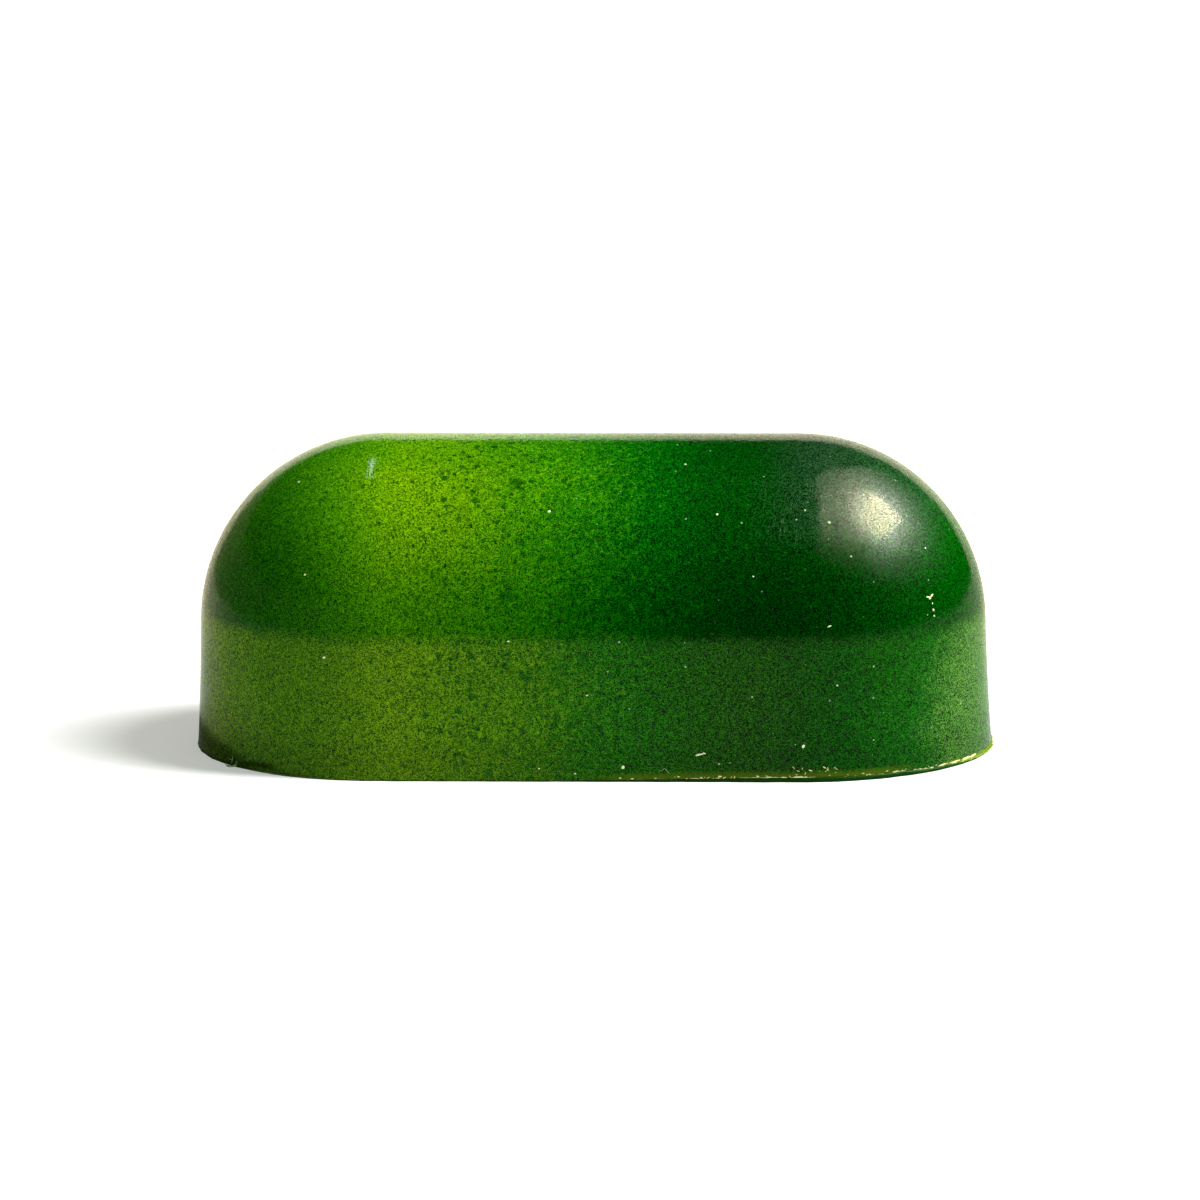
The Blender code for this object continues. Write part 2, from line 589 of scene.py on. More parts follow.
@dataclass(frozen=True)
class Film:
    """A thin edge of cocoa butter or chocolate that lets a little light through."""

    name: str
    colour: Colour
    clear: float

    def material(self) -> bpy.types.Material:
        """Build the film.

        Returns:
            The material.
        """
        graph = Graph(self.name)
        place = graph.millimetres()
        shade = 0.75 + graph.noise(place, 0.15, 2.0) * 0.5
        plain = graph.mix(0.0, self.colour, self.colour)
        linked = {"Base Color": graph.brighten(plain, shade)}
        fixed = {"Roughness": 0.3, "Specular IOR Level": 0.3, "Transmission Weight": self.clear}
        return graph.surface(fixed, linked)


@dataclass(frozen=True)
class Stadium:
    """The mould's form: what carries a profile round the praline."""

    half_straight: float
    spring_radius: float
    spring_height: float
    lean: float
    flare: float = 0.09
    flare_height: float = 4.5

    @classmethod
    def from_frame(cls, spring_height: float = 6.35, longer: float = 0.10) -> "Stadium":
        """Read the form from the shell's box: its crown, its lip and its length.

        Args:
            spring_height: the height at which the wall turns into the round top.
            longer: how much longer than the solid's each half of the straight is.

        Returns:
            The form.
        """
        low, high = (np.array(corner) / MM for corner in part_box("shell"))
        spring_radius = high[2] - spring_height
        lean = (high[1] - spring_radius) / (spring_height - low[2])
        return cls(high[0] - high[1] + longer, spring_radius, spring_height, lean)

    def wall_radius(self, height: Array | float) -> Array | float:
        """The wall's half width at a height.

        It is the spring radius, plus the lean below the spring, plus a flare that grows by the
        square of the way down from the flare's height.
        """
        down = np.clip(1 - height / self.flare_height, 0, None)
        return self.spring_radius + (self.spring_height - height) * self.lean + self.flare * down**2

    @property
    def quarter(self) -> float:
        """The walk round a quarter of an end."""
        return math.pi / 2 * self.spring_radius

    @property
    def walk(self) -> float:
        """The walk all the way round."""
        return 4 * self.quarter + 4 * self.half_straight

    def stations(self, share: Array) -> tuple[Array, Array]:
        """Turn shares of the walk round, from the right end by way of the back, into stations.

        Args:
            share: shares of the walk from 0 to 1.

        Returns:
            For each the X of the spine point that it belongs to, and the angle at which it looks
            outwards. Both are straight-line readings of the distance walked.
        """
        straight = 2 * self.half_straight
        steps = [0, self.quarter, straight, 2 * self.quarter, straight, self.quarter]
        angles = np.radians([0, 90, 90, 270, 270, 360])
        spine = np.array([1, 1, -1, -1, 1, 1]) * self.half_straight
        distance = np.mod(share, 1.0) * self.walk
        marks = np.cumsum(steps)
        return np.interp(distance, marks, spine), np.interp(distance, marks, angles)

    def share_of(self, points: Array) -> Array:
        """Turn points into shares of the walk: the reverse of stations.

        Args:
            points: points beside the wall, of which X and Y count.

        Returns:
            Their shares of the walk, from 0 to 1.
        """
        spine = np.clip(points[..., 0], -self.half_straight, self.half_straight)
        angle = np.mod(np.arctan2(points[..., 1], points[..., 0] - spine), 2 * math.pi)
        turned = angle / (math.pi / 2) * self.quarter
        drawn = np.where(angle < math.pi, self.half_straight - spine, self.half_straight * 3 + spine)
        return np.mod((turned + drawn) / self.walk, 1.0)

    def carry(self, radius: Array, height: Array, share: Array) -> Array:
        """Carry profiles round the stadium.

        A point is its spine point, plus the radius along the outward direction, at the height.

        Args:
            radius: rows of radii, one column for each station or one for all.
            height: rows of heights, likewise.
            share: the stations' shares of the walk.

        Returns:
            Points as an array of rows, stations and coordinates.
        """
        spine, angle = self.stations(share)
        radius, height = np.broadcast_arrays(radius, height, share[None])[:2]
        return np.stack([spine + radius * np.cos(angle), radius * np.sin(angle), height], -1)

    def front(self, along: Array, height: Array, proud: Array | float = 0.0) -> Array:
        """Points on the front of the skin, from their X and height.

        The radius at the height is the wall's, or the round top's above the spring line, and Y
        closes the circle about the nearest spine point.

        Args:
            along: the points' X.
            height: their heights.
            proud: how far they stand off the skin.

        Returns:
            The points.
        """
        rise = np.clip(height - self.spring_height, 0, self.spring_radius)
        top = np.sqrt(np.maximum(self.spring_radius**2 - rise**2, 0))
        radius = np.where(rise > 0, top, self.wall_radius(height)) + proud
        past = np.clip(np.abs(along) - self.half_straight, 0, None)
        return np.stack([along, -np.sqrt(np.maximum(radius**2 - past**2, 0)), height], -1)

    def outward(self, points: Array) -> Array:
        """Normals of the skin: away from the spine, and level below the spring.

        Args:
            points: points near the skin.

        Returns:
            Unit normals. On the spine itself, below the spring, there is none and it is zero.
        """
        spine = np.clip(points[..., 0], -self.half_straight, self.half_straight)
        rise = np.maximum(points[..., 2] - self.spring_height, 0)
        away = np.stack([points[..., 0] - spine, points[..., 1], rise], -1)
        return unit(away)


def unit(vectors: Array) -> Array:
    """Vectors at a length of 1. One of no length stays zero."""
    return vectors / np.maximum(np.linalg.norm(vectors, axis=-1, keepdims=True), 1e-9)


def swell(points: Array, wavelength: float, seed: int, waves: int = 12) -> Array:
    """A smooth random height for points.

    It is the sum of plane sine waves of about the wavelength, in random directions and phases
    from a seed, divided so that it stays near the range -1 to 1.

    Args:
        points: where the height is wanted.
        wavelength: about how long the waves are.
        seed: of the directions, lengths and phases.
        waves: how many are added up.

    Returns:
        One height for each point.
    """
    rng = np.random.default_rng(seed)
    ways = rng.normal(size=(waves, 3))
    ways *= rng.uniform(0.6, 1.4, (waves, 1)) / np.linalg.norm(ways, axis=1)[:, None]
    phase = rng.uniform(0, 2 * math.pi, waves)
    return np.sin(points @ ways.T * (2 * math.pi / wavelength) + phase).sum(-1) / math.sqrt(2 * waves)


def grid_faces(rows: int, columns: int, rows_meet: bool = False, columns_meet: bool = True) -> Array:
    """Quads of a grid of points.

    Args:
        rows: how many rows there are.
        columns: how many points each row has.
        rows_meet: whether the last row joins the first.
        columns_meet: whether the last column joins the first.

    Returns:
        Four vertex numbers for each face.
    """
    row, column = np.meshgrid(
        np.arange(rows if rows_meet else rows - 1),
        np.arange(columns if columns_meet else columns - 1), indexing="ij",
    )
    below, beside = (row + 1) % rows, (column + 1) % columns
    corners = [row * columns + column, row * columns + beside,
               below * columns + beside, below * columns + column]
    return np.stack(corners, -1).reshape(-1, 4)


def repeat_faces(faces: Array, copies: int) -> Array:
    """Faces of equal copies of a mesh whose vertices follow each other."""
    first = np.arange(copies)[:, None, None] * (faces.max() + 1)
    return (faces[None] + first).reshape(-1, 4)


def capped(rings: Array) -> Array:
    """Close a tube, given as rings of points, with a ring that is shrunk to a point at each end."""
    tips = [ring.mean(0, keepdims=True).repeat(len(ring), 0)[None] for ring in (rings[0], rings[-1])]
    return np.concatenate([tips[0], rings, tips[1]])


def lean_out(points: Array, most: float = 0.12, start: float = 10.4, end: float = 20.0,
             top: float = 6.5) -> Array:
    """Let the right end lean out a little near the table.

    X grows by the most, times the square of how far a point lies into the right end, times the
    power 1.5 of how far it lies below the top.

    Args:
        points: rows of points.
        most: the growth at the end's foot.
        start: the X at which the right end starts.
        end: the X at which it ends.
        top: the height at which the growth starts.

    Returns:
        The points, moved.
    """
    into = np.clip((points[:, 0] - start) / (end - start), 0, 1)
    below = np.clip(1 - points[:, 2] / top, 0, 1)
    return points + np.outer(most * into**2 * below**1.5, [1.0, 0.0, 0.0])


def make_piece(name: str, points: Array, faces: Array,
               material: bpy.types.Material) -> bpy.types.Object:
    """Make a closed piece from points in millimetres.

    Args:
        name: the piece's name.
        points: its vertices, in any grid shape.
        faces: its faces, as vertex numbers.
        material: its finish.

    Returns:
        The object, at the origin, with coincident points merged and faces pointing out.
    """
    mesh = bpy.data.meshes.new(name)
    mesh.from_pydata(lean_out(points.reshape(-1, 3)) * MM, [], faces)
    body = bmesh.new()
    body.from_mesh(mesh)
    bmesh.ops.remove_doubles(body, verts=body.verts, dist=0.0003 * MM)
    bmesh.ops.recalc_face_normals(body, faces=body.faces)
    body.to_mesh(mesh)
    body.free()
    mesh.shade_smooth()
    mesh.materials.append(material)
    piece = bpy.data.objects.new(name, mesh)
    bpy.context.scene.collection.objects.link(piece)
    return piece


def settle(piece: bpy.types.Object, slot: str, *nodes: str) -> bpy.types.Object:
    """Let a piece ride on the praline.

    Args:
        piece: the piece.
        slot: the record's slot that its finish belongs to; it is not used.
        *nodes: the solids that it takes the place of.

    Returns:
        The piece.
    """
    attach(piece, BODY)
    if nodes:
        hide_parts(*nodes)
    return piece


def vertices(piece: bpy.types.Object) -> Array:
    """Read a piece's vertices.

    Args:
        piece: the piece.

    Returns:
        Rows of X, Y and Z in millimetres.
    """
    flat = np.empty(len(piece.data.vertices) * 3, np.float32)
    piece.data.vertices.foreach_get("co", flat)
    return flat.reshape(-1, 3).astype(float) / MM


def note(piece: bpy.types.Object, name: str, values: Array) -> None:
    """Store one number for each vertex, which a material reads by its name."""
    piece.data.attributes.new(name, "FLOAT", "POINT").data.foreach_set("value", values.astype(np.float32))


@dataclass(frozen=True)
class Seam:
    """The line round the foot where the shell meets the base.

    Its height is read along straight lines between a few marks of the walk round: low at the left
    and along the front's left half, higher from there to the right end. A fine ripple breaks it.
    """

    form: Stadium
    marks: tuple[float, ...] = (0.0, 0.12, 0.35, 0.50, 0.65, 0.73, 0.78, 0.86, 0.91, 0.935, 0.955, 1.0)
    heights: tuple[float, ...] = (0.05, 0.15, 0.12, 0.04, 0.02, 0.04, 0.14, 0.26, 0.25, 0.16, 0.07, 0.05)
    ripple: float = 0.018
    lowest: float = 0.042

    def height(self, points: Array) -> Array:
        """The seam's height round the foot.

        Args:
            points: points beside the foot, of which X and Y count.

        Returns:
            The height beside each of them.
        """
        flat = points * np.array([1.0, 1.0, 0.0])
        level = np.interp(self.form.share_of(points), self.marks, self.heights)
        level = level + self.ripple * (swell(flat, 2.1, 5) + 0.6 * swell(flat, 0.5, 6))
        return np.maximum(level, self.lowest)


@dataclass
class Shell:
    """The shell: its coloured skin, its lip and the hollow that the filling takes."""

    form: Stadium
    seam: Seam
    finish: AirbrushedSkin
    stations: int = 400
    arc_rows: int = 60
    wall_rows: int = 20
    wall: float = 1.8
    edge: float = 0.05
    waver: float = 0.004

    def surface(self) -> Array:
        """Points of the shell, in rows from the crown outside to the crown inside.

        Outside, the round top is a quarter circle over the spring line and the wall runs down in
        even steps to the seam. The lip is a quarter circle too. Inside, the same shapes go back
        up, smaller by the wall. The whole wavers by a few thousandths of a millimetre.

        Returns:
            Points as an array of rows, stations and coordinates.
        """
        form = self.form
        share = np.arange(self.stations) / self.stations
        foot = form.carry(np.array([[form.wall_radius(0.0)]]), np.zeros((1, 1)), share)[0]
        lip = self.seam.height(foot)[None]
        turn = np.linspace(0, math.pi / 2, self.arc_rows)[:, None]
        wide = np.zeros((1, self.stations))
        top = form.spring_height + form.spring_radius * np.cos(turn) + wide
        step = np.linspace(0, 1, self.wall_rows)[1:, None]
        down = form.spring_height + (lip + self.edge - form.spring_height) * step
        bend = np.linspace(0, math.pi / 2, 5)[1:, None]
        lip_height = lip + self.edge * (1 - np.sin(bend))
        lip_radius = form.wall_radius(lip) - self.edge * (1 - np.cos(bend))
        inner = np.linspace(0, 1, 8)[:-1, None] * (form.spring_height - lip) + lip
        inner_radius = form.spring_radius - self.wall
        back = np.linspace(math.pi / 2, 0, 24)[:, None]
        ceiling = form.spring_height + inner_radius * np.cos(back) + wide
        radius = [form.spring_radius * np.sin(turn) + wide, form.wall_radius(down), lip_radius,
                  form.wall_radius(inner) - self.wall, inner_radius * np.sin(back) + wide]
        height = np.concatenate([top, down, lip_height, inner, ceiling])
        points = form.carry(np.concatenate(radius), height, share)
        waver = self.waver * swell(points, 2.6, 3)
        return points + form.outward(points + [0, 0, 1e-6]) * waver[..., None]

    def build(self) -> bpy.types.Object:
        """Make the shell and put it in place of its solid.

        Returns:
            The shell.
        """
        points = self.surface()
        faces = grid_faces(len(points), self.stations)
        piece = make_piece("shell_skin", points, faces, self.finish.material(self.form))
        made = vertices(piece)
        note(piece, "above_lip", made[:, 2] - self.seam.height(made))
        return settle(piece, "green_skin", "shell")


@dataclass
class Base:
    """The closing layer: a plug inside the rim on a thin, ragged foot."""

    form: Stadium
    seam: Seam
    finish: PlainFinish
    stations: int = 400
    thickness: float = 1.8
    inset: float = 2.0
    slit: float = 0.012
    proud: float = 0.02
    ragged: float = 0.03

    def build(self) -> bpy.types.Object:
        """Make the base and put it in place of its solid.

        The foot's rim is the wall's radius plus a small swell; its profile runs from the middle of
        the underside out to the rim, up its rounded edge to just under the seam, in to the plug,
        and up and back to the middle.

        Returns:
            The base.
        """
        form = self.form
        share = np.arange(self.stations) / self.stations
        foot = form.carry(np.array([[form.wall_radius(0.0)]]), np.zeros((1, 1)), share)[0]
        rim = form.wall_radius(0.0) + self.proud + self.ragged * swell(foot, 0.8, 9)
        rim = np.minimum(rim, form.wall_radius(0.0) + 0.11)[None]
        top = np.maximum(self.seam.height(foot) - self.slit, 0.03)[None]
        plug = form.wall_radius(0.0) - self.inset + 0 * rim
        zero = 0 * rim
        inward = [rim - 4.0, rim - 2.0, rim - 1.0, rim - 0.5, rim - 0.2]
        radius = [zero, *inward, rim - 0.03, rim, rim - 0.01, rim - 0.04, plug, plug, plug - 0.05, zero]
        height = [zero] * 7 + [top * 0.3, top * 0.8, top, top, zero + self.thickness - 0.05]
        height += [zero + self.thickness] * 2
        points = form.carry(np.concatenate(radius), np.concatenate(height), share)
        faces = grid_faces(len(radius), self.stations)
        piece = make_piece("base_foot", points, faces, self.finish.material())
        made = vertices(piece)
        spine = np.clip(made[:, 0], -form.half_straight, form.half_straight)
        note(piece, "to_rim", form.wall_radius(0.0) - np.hypot(made[:, 0] - spine, made[:, 1]))
        return settle(piece, "base_chocolate", "base")


@dataclass
class Filling:
    """The nut filling: it follows the inside of the shell and is lumpy with ground nuts."""

    form: Stadium
    finish: PlainFinish
    inset: float = 2.1
    floor: float = 2.1
    lump: float = 0.07
    stations: int = 240

    def build(self) -> bpy.types.Object:
        """Make the filling and put it in place of its solid.

        A quarter circle over the spring line, a straight wall and a flat floor are carried round,
        and the skin is drawn in by a swell that is never positive.

        Returns:
            The filling.
        """
        form = self.form
        share = np.arange(self.stations) / self.stations
        inner = form.spring_radius - self.inset
        turn = np.linspace(0, math.pi / 2, 40)[:, None]
        wall = np.linspace(form.spring_height, self.floor, 10)[1:, None]
        side = form.wall_radius(wall) - self.inset
        inwards = np.linspace(1, 0, 8)[1:, None] * side[-1]
        radius = np.concatenate([inner * np.sin(turn), side, inwards])
        vault = form.spring_height + inner * np.cos(turn)
        height = np.concatenate([vault, wall, 0 * inwards + self.floor])
        points = form.carry(radius, height, share)
        lumps = self.lump * (np.abs(swell(points, 1.6, 21)) + 0.5 * np.abs(swell(points, 0.7, 22)))
        inside = np.clip((points[..., 2:] - self.floor) * 4, 0, 1)
        points = points - form.outward(points + [0, 0, 1e-6]) * lumps[..., None] * inside
        faces = grid_faces(len(points), self.stations)
        piece = make_piece("nut_filling", points, faces, self.finish.material())
        return settle(piece, "nut_filling", "filling")


@dataclass(frozen=True)
class Fleck:
    """A pale fleck on the front: its X, height, length and width, and its turn from level."""

    along: float
    height: float
    length: float
    width: float
    turn: float = 0.0


@dataclass
class Flecks:
    """Cream flecks and crumbs of bare chocolate that lie in the skin."""

    form: Stadium
    seam: Seam
    named: tuple[Fleck, ...] = tuple(Fleck(*row) for row in (
        (6.46, 13.03, 0.13, 0.13), (10.84, 13.21, 0.11, 0.10), (12.04, 12.66, 0.13, 0.11),
        (13.14, 11.10, 0.12, 0.11), (16.84, 11.07, 0.10, 0.09), (12.06, 7.84, 0.24, 0.08, 20),
        (12.46, 4.87, 0.12, 0.09), (10.78, 1.82, 0.17, 0.12, 60), (8.28, 10.25, 0.09, 0.08),
        (4.80, 15.04, 0.12, 0.12), (-1.93, 13.14, 0.13, 0.11, 30), (-3.89, 7.09, 0.17, 0.06, 10),
        (0.03, 4.37, 0.16, 0.07, 15), (-13.09, 6.18, 0.17, 0.11, 10), (-14.08, 10.15, 0.13, 0.10),
        (-14.64, 14.08, 0.12, 0.10), (5.62, 1.40, 0.42, 0.08, 12), (5.86, 1.46, 0.20, 0.07, -20),
        (1.81, 0.75, 0.20, 0.16, 40), (-2.38, 0.67, 0.10, 0.07), (-0.58, 0.42, 0.12, 0.06),
        (17.00, 8.80, 0.30, 0.07, -8), (17.16, 8.84, 0.26, 0.10, 28), (17.08, 8.72, 0.20, 0.07, 10),
        (17.20, 8.46, 0.10, 0.06, 80), (17.24, 8.14, 0.13, 0.11), (17.29, 7.84, 0.12, 0.11),
        (16.95, 7.95, 0.07, 0.05),
    ))
    thick_seam: tuple[Fleck, ...] = tuple(Fleck(*row) for row in (
        (17.75, 0.26, 0.60, 0.06, 2), (18.35, 0.25, 0.80, 0.10, 2), (18.85, 0.24, 0.85, 0.15, 2),
        (19.22, 0.24, 0.70, 0.12, 4),
    ))
    crumbs: int = 46
    lint: int = 14
    seed: int = 11

    def on_seam(self) -> list[Fleck]:
        """Crumbs along the seam of the front's right half and the right end, from the seed.

        Returns:
            The crumbs, a tuft of lint above them, and the seam's thick end.
        """
        rng = np.random.default_rng(self.seed + 1)
        along = 1.5 + 17.3 * rng.random(self.crumbs) ** 0.8
        place = self.form.front(along, np.full(self.crumbs, 0.2))
        height = self.seam.height(place) + rng.uniform(0.0, 0.12, self.crumbs)
        length = rng.uniform(0.05, 0.18, self.crumbs)
        width = rng.uniform(0.02, 0.05, self.crumbs)
        turn = rng.normal(0, 22, self.crumbs)
        rows = [*zip(along, height, length, width, turn)]
        for _ in range(self.lint):
            place = rng.uniform((10.2, 0.38), (12.6, 0.75))
            rows.append((*place, rng.uniform(0.06, 0.2), rng.uniform(0.02, 0.045), rng.uniform(0, 180)))
        return [Fleck(*(float(number) for number in row)) for row in rows] + [*self.thick_seam]

    def pillows(self, flecks: Sequence[Fleck], seed: int) -> tuple[Array, Array]:
        """Turn flecks into small flattened pebbles.

        Each is a ball squeezed to the fleck's length and width in the skin's plane and to a
        quarter of its width across it, sunk half way in, with its outline made uneven by a swell.

        Args:
            flecks: what to make.
            seed: of the uneven outline.

        Returns:
            Vertices and faces of all of them.
        """
        rows, columns = 6, 10
        size = np.array([astuple(fleck) for fleck in flecks])
        centre = self.form.front(size[:, 0], size[:, 1])
        normal = self.form.outward(centre)
        level = unit(np.cross([0, 0, 1.0], normal))
        steep = np.cross(normal, level)
        turn = np.radians(size[:, 4:5])
        first = level * np.cos(turn) + steep * np.sin(turn)
        second = steep * np.cos(turn) - level * np.sin(turn)
        tilt, round_ = np.meshgrid(
            np.linspace(0, math.pi, rows), np.arange(columns) * 2 * math.pi / columns, indexing="ij")
        out = np.sin(tilt)
        ball = np.stack([out * np.cos(round_), out * np.sin(round_), np.cos(tilt)], -1)
        long, wide = size[:, 2:3], size[:, 3:4]
        axes = np.stack([first * long / 2, second * wide / 2, normal * wide / 4], 1)
        points = np.einsum("rck,nkj->nrcj", ball, axes)
        uneven = 1 + 0.25 * swell(points + centre[:, None, None] * 3, 0.5, seed)
        points = centre[:, None, None] + points * uneven[..., None]
        return points, repeat_faces(grid_faces(rows, columns), len(flecks))

    def build(self) -> list[bpy.types.Object]:
        """Make the flecks in the skin and the crumbs on the seam.

        Returns:
            Both pieces.
        """
        ivory = PlainFinish("bare_white_chocolate", (0.82, 0.84, 0.56), (0.55, 0.62, 0.34), 0.5)
        crumb = PlainFinish("seam_crumb", (0.90, 0.84, 0.46), (0.50, 0.55, 0.12), 0.5, 0.5)
        pieces = []
        for name, flecks, finish in (
            ("cream_flecks", self.named, ivory), ("seam_crumbs", self.on_seam(), crumb),
        ):
            points, faces = self.pillows(flecks, self.seed)
            piece = make_piece(name, points, faces, finish.material())
            pieces.append(settle(piece, "base_chocolate"))
        return pieces


@dataclass
class Flash:
    """A thin edge of film that was squeezed out between the mould and the scraper."""

    form: Stadium
    name: str
    start: float
    end: float
    width: float
    thickness: float
    low: float
    curl: float
    finish: Film
    seed: int
    lift: float = 0.0
    sunk: float = 0.04

    def build(self) -> bpy.types.Object:
        """Make the flash as a flat bead that tapers to nothing at both ends.

        Round the bead, its half width runs outwards and its half thickness upwards; both are
        scaled by a half wave along the bead and a swell, and its outer edge curls up by the
        square of how far out it stands. The bead climbs by the lift, with the fourth power of
        the way along it.

        Returns:
            The flash.
        """
        along, across = 90, 12
        share = np.linspace(self.start, self.end, along)
        height = self.low + self.lift * np.linspace(0, 1, along)[None] ** 4
        middle = self.form.carry(self.form.wall_radius(height), height, share)[0]
        outward = self.form.outward(middle)
        uneven = 0.25 * swell(middle, 0.9, self.seed) + 0.12 * swell(middle, 0.25, self.seed + 1)
        reach = np.sin(np.linspace(0, math.pi, along)) ** 0.5 * (0.8 + uneven)
        reach = np.clip(reach, 0.001, 1.1)[:, None]
        round_ = np.arange(across) * 2 * math.pi / across
        out = reach * (self.width / 2) * (1 + np.cos(round_)) - self.sunk
        up = reach * (self.thickness / 2) * np.sin(round_)
        up = up + self.curl * np.clip(out / self.width, 0, 1) ** 2
        points = middle[:, None] + outward[:, None] * out[..., None] + up[..., None] * [0.0, 0.0, 1.0]
        faces = grid_faces(along + 2, across)
        return settle(make_piece(self.name, capped(points), faces, self.finish.material()), "green_skin")


@dataclass
class Shavings:
    """Loose strands of chocolate at the foot: a crumpled one at the left end and a thin thread."""

    finish: Film
    strands: tuple[tuple[tuple[float, float, float, float], ...], ...] = (
        ((-18.42, -6.05, 0.14, 0.05), (-18.20, -6.55, 0.07, 0.07), (-17.85, -6.70, 0.09, 0.07),
         (-17.66, -6.40, 0.26, 0.06), (-17.95, -6.10, 0.36, 0.05), (-18.30, -6.10, 0.27, 0.04)),
        ((-18.05, -6.45, 0.10, 0.03), (-17.93, -6.25, 0.40, 0.035), (-18.00, -6.20, 0.62, 0.02)),
        ((3.50, -9.66, 0.60, 0.012), (3.72, -9.69, 0.56, 0.014), (3.88, -9.69, 0.72, 0.014),
         (4.04, -9.69, 0.53, 0.014), (4.18, -9.69, 0.38, 0.012)),
    )

    def build(self) -> bpy.types.Object:
        """Make the strands.

        Each is a tube through its marks (X, Y, height and half thickness). The way between them
        is straight, rounded by a running mean, and the thickness swells a little.

        Returns:
            The strands as one piece.
        """
        along, across = 48, 8
        round_ = np.arange(across) * 2 * math.pi / across
        tubes = []
        for marks in self.strands:
            way = np.linspace(0, len(marks) - 1, along + 10)
            path = np.stack([np.interp(way, range(len(marks)), column) for column in zip(*marks)], -1)
            path = np.stack([np.convolve(column, np.ones(11) / 11, "valid") for column in path.T], -1)
            middle, thick = path[:, :3], path[:, 3] * (1 + 0.3 * swell(path[:, :3], 0.3, 31))
            thick = thick * np.sin(np.linspace(0.02, math.pi - 0.02, along)) ** 0.4
            ahead = np.gradient(middle, axis=0)
            side = unit(np.cross(ahead, [0.2, 1.0, 0.3]))
            other = unit(np.cross(side, ahead))
            ring = np.cos(round_)[:, None] * side[:, None] + np.sin(round_)[:, None] * other[:, None]
            tubes.append(capped(middle[:, None] + ring * thick[:, None, None]))
        points = np.stack(tubes)
        points[..., 2] = np.maximum(points[..., 2], 0.005)
        faces = repeat_faces(grid_faces(along + 2, across), len(tubes))
        return settle(make_piece("shavings", points, faces, self.finish.material()), "green_skin")


class Outline(Enum):
    """The outline of a flat light."""

    SQUARE = "SQUARE"
    ELLIPSE = "ELLIPSE"


def direction(azimuth: float, elevation: float) -> Vector:
    """A direction, from degrees round from +X towards +Y and degrees above the floor."""
    turn, rise = math.radians(azimuth), math.radians(elevation)
    return Vector((math.cos(turn) * math.cos(rise), math.sin(turn) * math.cos(rise), math.sin(rise)))


def facing(away: Vector) -> Matrix:
    """The turn at which an object out in a direction looks back at the praline."""
    return away.to_track_quat("Z", "Y").to_matrix().to_4x4()


